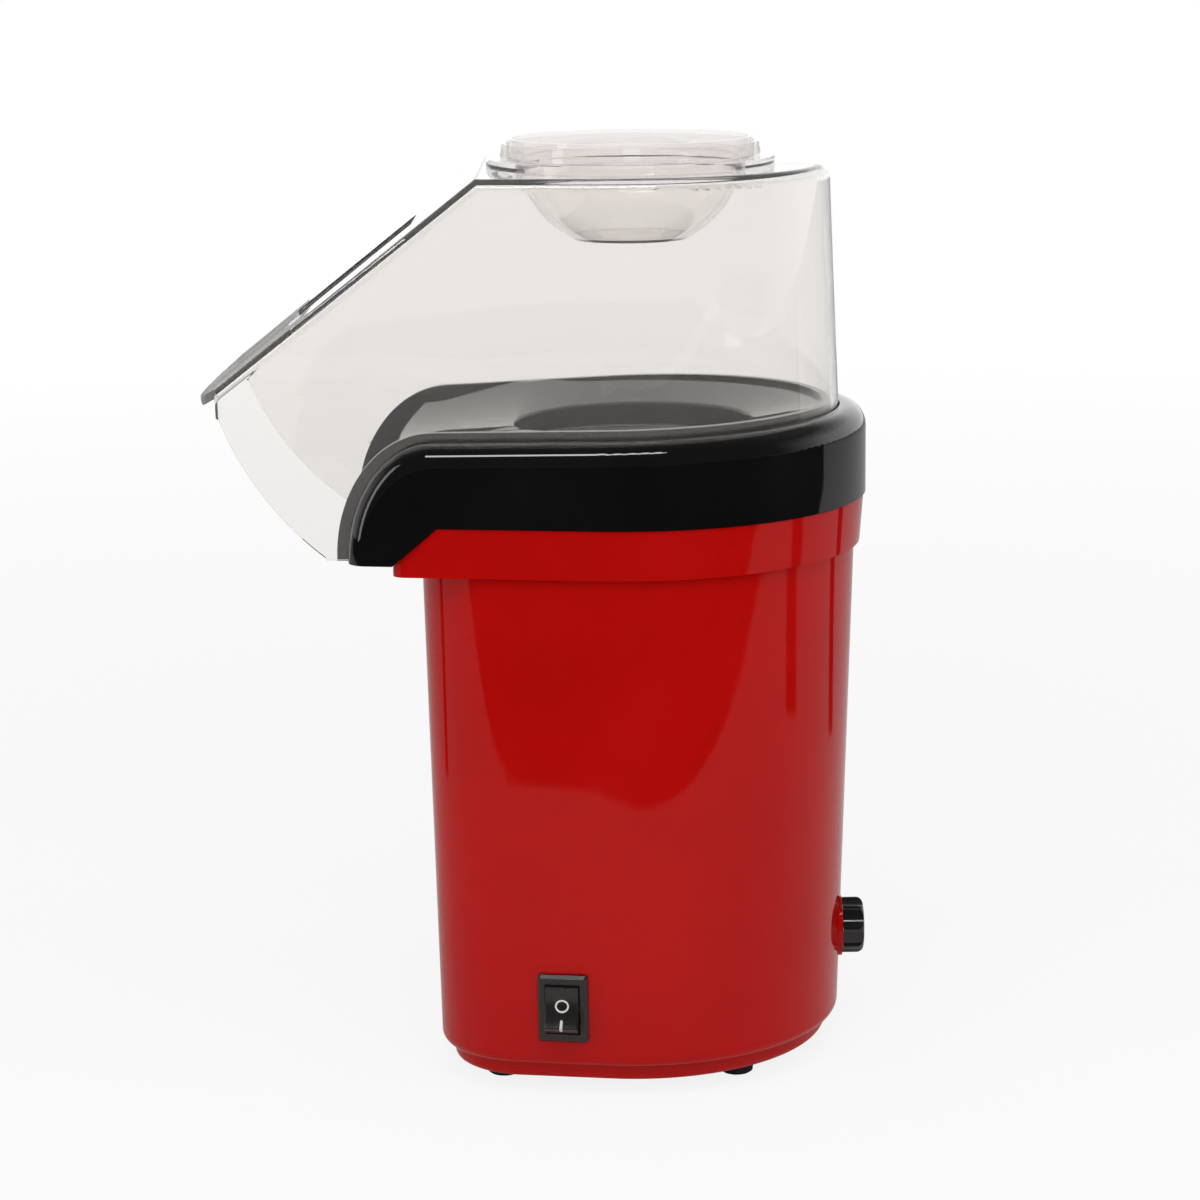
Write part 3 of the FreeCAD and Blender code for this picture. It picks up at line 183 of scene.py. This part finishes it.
# each lamp: name, place, aim, size, watts, whether gloss shows it, whether it lights the pieces
LAMPS = [
    ("top_softbox", (0.55, 0.02, 0.95), (0, 0.02, 0.15), (0.9, 0.5), 4.0, False, True),
    ("shoulder_strip", (0.55, -0.09, 0.95), (0, -0.09, 0.19), (0.58, 0.14), 3.2, True, False),
    ("chute_end_strip", (0.5, -1.1, 0.5), (0, 0, 0.12), (0.25, 0.9), 2.4, True, True),
    ("knob_end_strip", (0.35, 1.25, 0.55), (0, 0.05, 0.12), (0.3, 0.9), 3.0, False, True),
    ("room_fill", (1.7, -0.1, 0.9), (0, 0.02, 0.1), (1.6, 1.2), 6.5, False, True),
]
for lamp in LAMPS:
    softbox(*lamp)

CARD_COLOUR = (0.03, 0.03, 0.03, 1)
CARD_HEIGHT = 0.001
CARD_EDGE = [(0.37, -0.9), (0.29, 0.62), (-0.25, 1.1), (-0.9, 3.5), (3.5, 3.5), (3.5, -3.5), (-0.9, -3.5),
             (-0.25, -1.3)]     # the black card's outline on the table top
# narrow black flags at the ends: direction and half width in degrees, near end, far end
FLAGS = [(85, 3.5, 0.46, 1.2), (120, 2.5, 0.42, 0.8), (-101, 3.0, 0.33, 0.9)]

card_material, tree, links, output = empty_material("black_card")
matt = tree.new("ShaderNodeBsdfDiffuse")
matt.inputs["Color"].default_value = CARD_COLOUR
links.new(matt.outputs[0], output.inputs["Surface"])


def black_card(name, outline):
    """A black card flat on the table top, seen only as a reflection."""
    mesh = bpy.data.meshes.new(name)
    mesh.from_pydata([(x, y, CARD_HEIGHT) for x, y in outline], [], [range(len(outline))])
    mesh.materials.append(card_material)
    card = bpy.data.objects.new(name, mesh)
    scene.collection.objects.link(card)
    for ray in ("camera", "diffuse", "transmission", "shadow"):
        setattr(card, "visible_" + ray, False)


def around(direction, distance):
    """Point on the table top, from a direction in degrees and a distance."""
    return (distance * math.cos(math.radians(direction)), distance * math.sin(math.radians(direction)))


black_card("black_card", CARD_EDGE)
for number, (direction, half, near, far) in enumerate(FLAGS):
    first, last = direction - half, direction + half
    black_card("black_flag_%d" % (number + 1),
               [around(first, near), around(last, near), around(last, far), around(first, far)])

CAMERA_AIM = Vector((0, 0.01922, 0.13979))
CAMERA_DISTANCE = 0.98955
CAMERA_DOWN = math.radians(11.811)
CAMERA_TURN = math.radians(-0.0865)
CAMERA_ROLL = math.radians(-0.7606)
CAMERA_SENSOR = 36.0
CAMERA_LENS = 96.0

camera_data = bpy.data.cameras.new("camera")
camera_data.sensor_width = CAMERA_SENSOR
camera_data.lens = CAMERA_LENS
camera = bpy.data.objects.new("camera", camera_data)
back = Vector((math.cos(CAMERA_DOWN) * math.cos(CAMERA_TURN),
               math.cos(CAMERA_DOWN) * math.sin(CAMERA_TURN),
               math.sin(CAMERA_DOWN)))
turned = (Matrix.Rotation(math.pi / 2 + CAMERA_TURN, 4, "Z") @ Matrix.Rotation(math.pi / 2 - CAMERA_DOWN, 4, "X")
          @ Matrix.Rotation(CAMERA_ROLL, 4, "Z"))
camera.matrix_world = Matrix.Translation(CAMERA_AIM + back * CAMERA_DISTANCE) @ turned
scene.collection.objects.link(camera)
scene.camera = camera


# Red body and base tray ---------------------------------------------------------------------------
# The body is one deep moulding in glossy red ABS, with a raised band that meets the black collar.
# The tray under it is the same plastic, held by four screws.
# Both carry a faint ripple and light handling marks.

RED = (0.44, 0.0036, 0.0026)
RED_DEEP = (0.40, 0.0030, 0.0022)
RED_SHINE = (0.045, 0.085)
PLASTIC_IOR = 1.5
TONE_SIZE = 0.05            # lumps of the two near tones
SMUDGE_SPAN = (0.42, 0.72)  # how much of the surface the handling marks cover
PEEL_DEPTH = 0.001


def dress(names, material):
    """Gives CAD nodes their finish."""
    for name in names:
        for slot in nodes[name].material_slots:
            slot.material = material


def noise(tree, links, size, detail=3.0, stretch=(1, 1, 1), twist=0.0):
    """Cloudy pattern in the object's own place, with lumps of about the given size in metres."""
    place = tree.new("ShaderNodeTexCoord")
    scale = tree.new("ShaderNodeMapping")
    scale.inputs["Scale"].default_value = stretch
    cloud = tree.new("ShaderNodeTexNoise")
    cloud.inputs["Scale"].default_value = 1 / size
    cloud.inputs["Detail"].default_value = detail
    cloud.inputs["Distortion"].default_value = twist
    links.new(place.outputs["Object"], scale.inputs["Vector"])
    links.new(scale.outputs[0], cloud.inputs["Vector"])
    return cloud.outputs["Fac"]


def between(tree, links, pattern, low, high, start=0.35, stop=0.65):
    """Turns a pattern into a value that runs from low to high."""
    span = tree.new("ShaderNodeMapRange")
    span.inputs["From Min"].default_value = start
    span.inputs["From Max"].default_value = stop
    span.inputs["To Min"].default_value = low
    span.inputs["To Max"].default_value = high
    links.new(pattern, span.inputs["Value"])
    return span.outputs["Result"]


def two_tones(tree, links, pattern, first, second, start=0.35, stop=0.65):
    """Turns a pattern into a colour between two."""
    ramp = tree.new("ShaderNodeValToRGB")
    ramp.color_ramp.elements[0].position = start
    ramp.color_ramp.elements[1].position = stop
    ramp.color_ramp.elements[0].color = (*first, 1)
    ramp.color_ramp.elements[1].color = (*second, 1)
    links.new(pattern, ramp.inputs[0])
    return ramp.outputs[0]


def ripple(tree, links, pattern, strength, depth):
    """Turns a pattern into small hills in the surface."""
    bump = tree.new("ShaderNodeBump")
    bump.inputs["Strength"].default_value = strength
    bump.inputs["Distance"].default_value = depth
    links.new(pattern, bump.inputs["Height"])
    return bump.outputs[0]


def moulded_plastic(name, first, second, shine, peel=0.02, peel_size=0.004, specular=0.5, smudge=0.03):
    """Injection-moulded plastic: two near tones, uneven shine from handling, and a faint orange peel."""
    material, tree, links, output = empty_material(name)
    shader = tree.new("ShaderNodeBsdfPrincipled")
    shader.inputs["IOR"].default_value = PLASTIC_IOR
    shader.inputs["Specular IOR Level"].default_value = specular
    tones = two_tones(tree, links, noise(tree, links, TONE_SIZE), first, second)
    links.new(tones, shader.inputs["Base Color"])
    marks = noise(tree, links, smudge, 5.0, (1, 1, 0.6), 0.8)
    links.new(between(tree, links, marks, *shine, *SMUDGE_SPAN), shader.inputs["Roughness"])
    peeled = ripple(tree, links, noise(tree, links, peel_size, 2.0), peel, PEEL_DEPTH)
    links.new(peeled, shader.inputs["Normal"])
    links.new(shader.outputs[0], output.inputs["Surface"])
    return material


red_plastic = moulded_plastic("glossy_red_abs", RED, RED_DEEP, RED_SHINE, peel=0.012, peel_size=0.006,
                              specular=0.17)
dress(["housing", "base_tray"], red_plastic)


# Feet and screws ----------------------------------------------------------------------------------
# Four soft black rubber feet with stems pushed through the tray.
# The pan-head screws are zinc-plated steel, with fine turning marks.

RUBBER = ((0.012, 0.012, 0.012), (0.022, 0.022, 0.021))
RUBBER_SHINE = (0.6, 0.8)
STEEL = ((0.55, 0.55, 0.56), (0.68, 0.68, 0.68))
METAL_TONE_SIZE = 0.01
METAL_LINE_DEPTH = 0.0001


def bare_metal(name, first, second, shine, stretch=(1, 1, 1), size=0.002, lines=0.15):
    """Bare metal with drawing or turning lines."""
    material, tree, links, output = empty_material(name)
    shader = tree.new("ShaderNodeBsdfPrincipled")
    shader.inputs["Metallic"].default_value = 1.0
    grain = noise(tree, links, size, 4.0, stretch)
    tones = two_tones(tree, links, noise(tree, links, METAL_TONE_SIZE), first, second)
    links.new(tones, shader.inputs["Base Color"])
    links.new(between(tree, links, grain, *shine), shader.inputs["Roughness"])
    links.new(ripple(tree, links, grain, lines, METAL_LINE_DEPTH), shader.inputs["Normal"])
    links.new(shader.outputs[0], output.inputs["Surface"])
    return material


dress(["feet"], moulded_plastic("black_rubber", *RUBBER, RUBBER_SHINE, peel=0.15, peel_size=0.0008,
                                specular=0.3))
dress(["base_screws", "collar_screws", "chamber_screws", "duct_screws", "motor_screws"],
      bare_metal("zinc_plated_steel", *STEEL, (0.25, 0.45)))


# Chute collar -------------------------------------------------------------------------------------
# One glossy black moulding that carries the lid, the chute floor and the round throat over the chamber.
# Polished mould, so it mirrors the room sharply, with only light dust and wiping marks.

BLACK = ((0.0032, 0.0032, 0.0034), (0.0046, 0.0046, 0.0048))
BLACK_SHINE = (0.02, 0.06)

dress(["chute_collar"], moulded_plastic("glossy_black_abs", *BLACK, BLACK_SHINE, peel=0.010, peel_size=0.007,
                                        smudge=0.02))


# Popping chamber and heater sleeve ----------------------------------------------------------------
# The chamber is a deep-drawn aluminium cup with slanting air slots.
# The sleeve round it is thin steel sheet. Both keep the fine rings of drawing and spinning.

ALUMINIUM = ((0.62, 0.62, 0.63), (0.76, 0.76, 0.77))
SHEET = ((0.45, 0.45, 0.46), (0.58, 0.58, 0.58))
RINGS = (0.5, 0.5, 60)

dress(["popping_chamber"], bare_metal("drawn_aluminium", *ALUMINIUM, (0.22, 0.36), RINGS, 0.02, 0.25))
dress(["heater_sleeve"], bare_metal("steel_sheet", *SHEET, (0.3, 0.45), RINGS, 0.02, 0.2))


# Heater -------------------------------------------------------------------------------------------
# Resistance wire wound on two slotted mica plates, with a disc thermostat and a thermal cut-out
# on the sleeve. The wire is oxidised brown-grey, and the mica is layered and slightly pearly.

WIRE = ((0.20, 0.17, 0.15), (0.32, 0.29, 0.27))
MICA = ((0.50, 0.43, 0.30), (0.66, 0.60, 0.47))
CAN = ((0.60, 0.60, 0.61), (0.72, 0.72, 0.72))
CUT_OUT = ((0.66, 0.63, 0.55), (0.78, 0.76, 0.68))

dress(["heater_coil"], bare_metal("resistance_wire", *WIRE, (0.35, 0.5), size=0.0006))
dress(["mica_frame"], moulded_plastic("mica_sheet", *MICA, (0.25, 0.5), peel=0.25, peel_size=0.0016,
                                      smudge=0.004))
dress(["thermostat"], bare_metal("thermostat_can", *CAN, (0.2, 0.4)))
dress(["thermal_fuse"], bare_metal("cut_out_case", *CUT_OUT, (0.25, 0.4)))


# Fan, motor and duct ------------------------------------------------------------------------------
# The fan and its drum are heat-proof plastic, dull from the mould. The motor is a plated steel can
# with a plastic end bell, and a small phenolic board with four diodes sits below it.

DUCT = ((0.020, 0.020, 0.021), (0.032, 0.032, 0.033))
FAN = ((0.030, 0.030, 0.032), (0.045, 0.045, 0.047))
END_BELL = ((0.55, 0.54, 0.50), (0.63, 0.62, 0.58))
BOARD = ((0.30, 0.17, 0.06), (0.38, 0.23, 0.09))
DIODE = ((0.012, 0.012, 0.013), (0.020, 0.020, 0.021))

dress(["fan_duct"], moulded_plastic("duct_plastic", *DUCT, (0.45, 0.6), peel=0.12, peel_size=0.001))
dress(["fan"], moulded_plastic("fan_plastic", *FAN, (0.35, 0.5), peel=0.08, peel_size=0.0012))
dress(["motor_can"], bare_metal("motor_can_steel", *STEEL, (0.2, 0.35), RINGS, 0.02, 0.1))
dress(["motor_shaft", "control_stem"], bare_metal("ground_steel", *STEEL, (0.12, 0.22), RINGS, 0.01, 0.1))
dress(["motor_cap"], moulded_plastic("end_bell_plastic", *END_BELL, (0.4, 0.55), peel=0.06, peel_size=0.001))
dress(["rectifier_board"], moulded_plastic("phenolic_board", *BOARD, (0.4, 0.6), peel=0.1, peel_size=0.0007,
                                           smudge=0.005))
dress(["rectifier_diodes"], moulded_plastic("diode_case", *DIODE, (0.3, 0.45), peel=0.05, peel_size=0.0006))


# Clear lid and measuring cup ----------------------------------------------------------------------
# The hood, its chute and the ring on top are one clear moulding about 2 mm thick, faintly warm in the
# face and violet through its edges. The measuring cup that closes the ring is the same plastic.

CLEAR = (0.925, 0.908, 0.885, 1)
CUP_CLEAR = (0.975, 0.962, 0.955, 1)
CLEAR_THROUGH = (0.90, 0.885, 0.865, 1)     # what lamps keep of their light on the way through
EDGE_TINT = (0.70, 0.60, 0.95, 1)
EDGE_DEPTH = 4.0       # how fast the edge tint builds up, per metre
CLEARNESS = 0.972       # the rest is a faint milkiness that catches light inside the walls
CLEAR_IOR = 1.40
WIPE_SIZE = 0.025
WIPE_SPAN = (0.45, 0.8)
WAVE_SIZE = 0.030
WAVE_STRENGTH = 0.05
WAVE_DEPTH = 0.001


def clear_plastic(name, face, haze):
    """Clear styrene: sharp gloss with faint wiping marks, tinted where one looks along the wall."""
    material, tree, links, output = empty_material(name)
    shader = tree.new("ShaderNodeBsdfPrincipled")
    shader.inputs["Base Color"].default_value = face
    shader.inputs["IOR"].default_value = CLEAR_IOR
    shader.inputs["Transmission Weight"].default_value = CLEARNESS
    wipes = noise(tree, links, WIPE_SIZE, 4.0, (1, 1, 0.4), 1.0)
    links.new(between(tree, links, wipes, *haze, *WIPE_SPAN), shader.inputs["Roughness"])
    waves = noise(tree, links, WAVE_SIZE, 1.0)
    links.new(ripple(tree, links, waves, WAVE_STRENGTH, WAVE_DEPTH), shader.inputs["Normal"])
    through = tree.new("ShaderNodeBsdfTransparent")
    through.inputs["Color"].default_value = CLEAR_THROUGH
    path = tree.new("ShaderNodeLightPath")
    lamps = tree.new("ShaderNodeMixShader")
    links.new(path.outputs["Is Shadow Ray"], lamps.inputs[0])
    links.new(shader.outputs[0], lamps.inputs[1])
    links.new(through.outputs[0], lamps.inputs[2])
    links.new(lamps.outputs[0], output.inputs["Surface"])
    tint = tree.new("ShaderNodeVolumeAbsorption")
    tint.inputs["Color"].default_value = EDGE_TINT
    tint.inputs["Density"].default_value = EDGE_DEPTH
    links.new(tint.outputs[0], output.inputs["Volume"])
    return material


dress(["lid"], clear_plastic("clear_lid", CLEAR, (0.0, 0.05)))
dress(["measuring_cup"], clear_plastic("clear_cup", CUP_CLEAR, (0.0, 0.04)))


# Rocker switch ------------------------------------------------------------------------------------
# A snap-in rocker switch in black nylon: a satin bezel, and a slightly glossier rocker that carries a
# printed ring and bar. Two tinned brass blades stand behind it.

NYLON = ((0.0085, 0.0080, 0.0075), (0.0120, 0.0112, 0.0105))
ROCKER = ((0.0100, 0.0095, 0.0090), (0.0140, 0.0132, 0.0125))
BRASS = ((0.72, 0.55, 0.28), (0.80, 0.64, 0.36))
INK = ((0.62, 0.62, 0.60), (0.72, 0.72, 0.70))
RING_SIZE = (0.0021, 0.0019)        # half width and half height of the printed ring
RING_LINE = 0.00052
BAR_SIZE = (0.00040, 0.0017)        # half width and half height of the printed bar
MARK_PLACES = (0.0016, -0.0040)     # ring and bar, up from the rocker's middle
INK_RISE = 0.00003
PRINT_FROM = 0.02       # how far out the print is laid on from
MARK_STEPS = 48
BAR_TIP = 0.4       # width left at the bar's very end, as a share

dress(["switch_housing"], moulded_plastic("switch_nylon", *NYLON, (0.28, 0.38), peel=0.03, peel_size=0.0005,
                                          smudge=0.006))
dress(["switch_rocker"], moulded_plastic("rocker_nylon", *ROCKER, (0.22, 0.34), peel=0.02, peel_size=0.0005,
                                         smudge=0.005))
dress(["switch_terminals"], bare_metal("brass_blade", *BRASS, (0.2, 0.35)))
white_ink = moulded_plastic("white_ink", *INK, (0.4, 0.5), peel=0.05, peel_size=0.0004)

tilt_joint = next(joint for joint in frame["joints"] if joint["name"] == "rocker_tilt")
hinge = Vector(tilt_joint["axis"]).normalized()
out = Vector((hinge.y, -hinge.x, 0)).normalized()
up = Vector((0, 0, 1))
low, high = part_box("switch_rocker")
rocker_middle = (low + high) / 2
rocker_mesh = nodes["switch_rocker"].data
rocker_skin = BVHTree.FromPolygons([vertex.co.copy() for vertex in rocker_mesh.vertices],
                                   [tuple(face.vertices) for face in rocker_mesh.polygons])


def on_rocker(side, height):
    """Point on the rocker's face, a hair above its skin."""
    start = rocker_middle + hinge * side + up * height + out * PRINT_FROM
    hit = rocker_skin.ray_cast(start, -out)[0]
    return hit + out * INK_RISE


def printed_mark(name, outer, inner):
    """Thin printed shape between two closed outlines, or from one outline to its middle line."""
    build = bmesh.new()
    rings = [[build.verts.new(on_rocker(*point)) for point in outline] for outline in (outer, inner)]
    count = len(outer)
    for index in range(count):
        after = (index + 1) % count
        build.faces.new((rings[0][index], rings[0][after], rings[1][after], rings[1][index]))
    mesh = bpy.data.meshes.new(name)
    bmesh.ops.recalc_face_normals(build, faces=build.faces)
    build.to_mesh(mesh)
    build.free()
    mesh.materials.append(white_ink)
    mark = bpy.data.objects.new(name, mesh)
    scene.collection.objects.link(mark)
    thick = mark.modifiers.new("ink", "SOLIDIFY")
    thick.thickness = INK_RISE
    thick.offset = 0
    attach(mark, "rocker")


def oval(half_width, half_height, centre):
    """Closed oval outline."""
    return [(half_width * math.cos(step / MARK_STEPS * math.tau),
             centre + half_height * math.sin(step / MARK_STEPS * math.tau)) for step in range(MARK_STEPS)]


def bar(half_width, half_height, centre):
    """Upright bar with round ends, and points all along its sides so that it follows the curved face."""
    rows = MARK_STEPS // 2
    right = []
    for row in range(rows):
        height = half_height * (2 * row / (rows - 1) - 1)
        past = max(0.0, abs(height) - (half_height - half_width))
        right.append((max(half_width * BAR_TIP, math.sqrt(half_width ** 2 - past ** 2)), centre + height))
    return right + [(-side, height) for side, height in reversed(right)]


ring_half, ring_tall = RING_SIZE
printed_mark("rocker_ring_mark", oval(ring_half, ring_tall, MARK_PLACES[0]),
             oval(ring_half - RING_LINE, ring_tall - RING_LINE, MARK_PLACES[0]))
bar_half, bar_tall = BAR_SIZE
bar_outline = bar(bar_half, bar_tall, MARK_PLACES[1])
printed_mark("rocker_bar_mark", bar_outline, [(side * BAR_TIP / 4, height) for side, height in bar_outline])


# Knob and heat control ----------------------------------------------------------------------------
# A small scalloped knob in glossy black phenolic pushes on to a flatted steel spindle.
# The rotary control behind the wall is dull black, and a plated hexagon nut holds it.

KNOB = ((0.0060, 0.0062, 0.0065), (0.0095, 0.0098, 0.0100))

dress(["control_knob"], moulded_plastic("knob_phenolic", *KNOB, (0.08, 0.18), peel=0.03, peel_size=0.002,
                                        smudge=0.005))
dress(["control_body"], moulded_plastic("control_case", *DUCT, (0.45, 0.6), peel=0.1, peel_size=0.0008))
dress(["control_nut"], bare_metal("plated_nut", *STEEL, (0.2, 0.35)))


# Cord inlet ---------------------------------------------------------------------------------------
# A soft black bush in the back wall that the mains cord enters through, pressed in from outside.

dress(["cord_inlet"], moulded_plastic("inlet_rubber", *RUBBER, (0.5, 0.7), peel=0.15, peel_size=0.0007,
                                      specular=0.35))
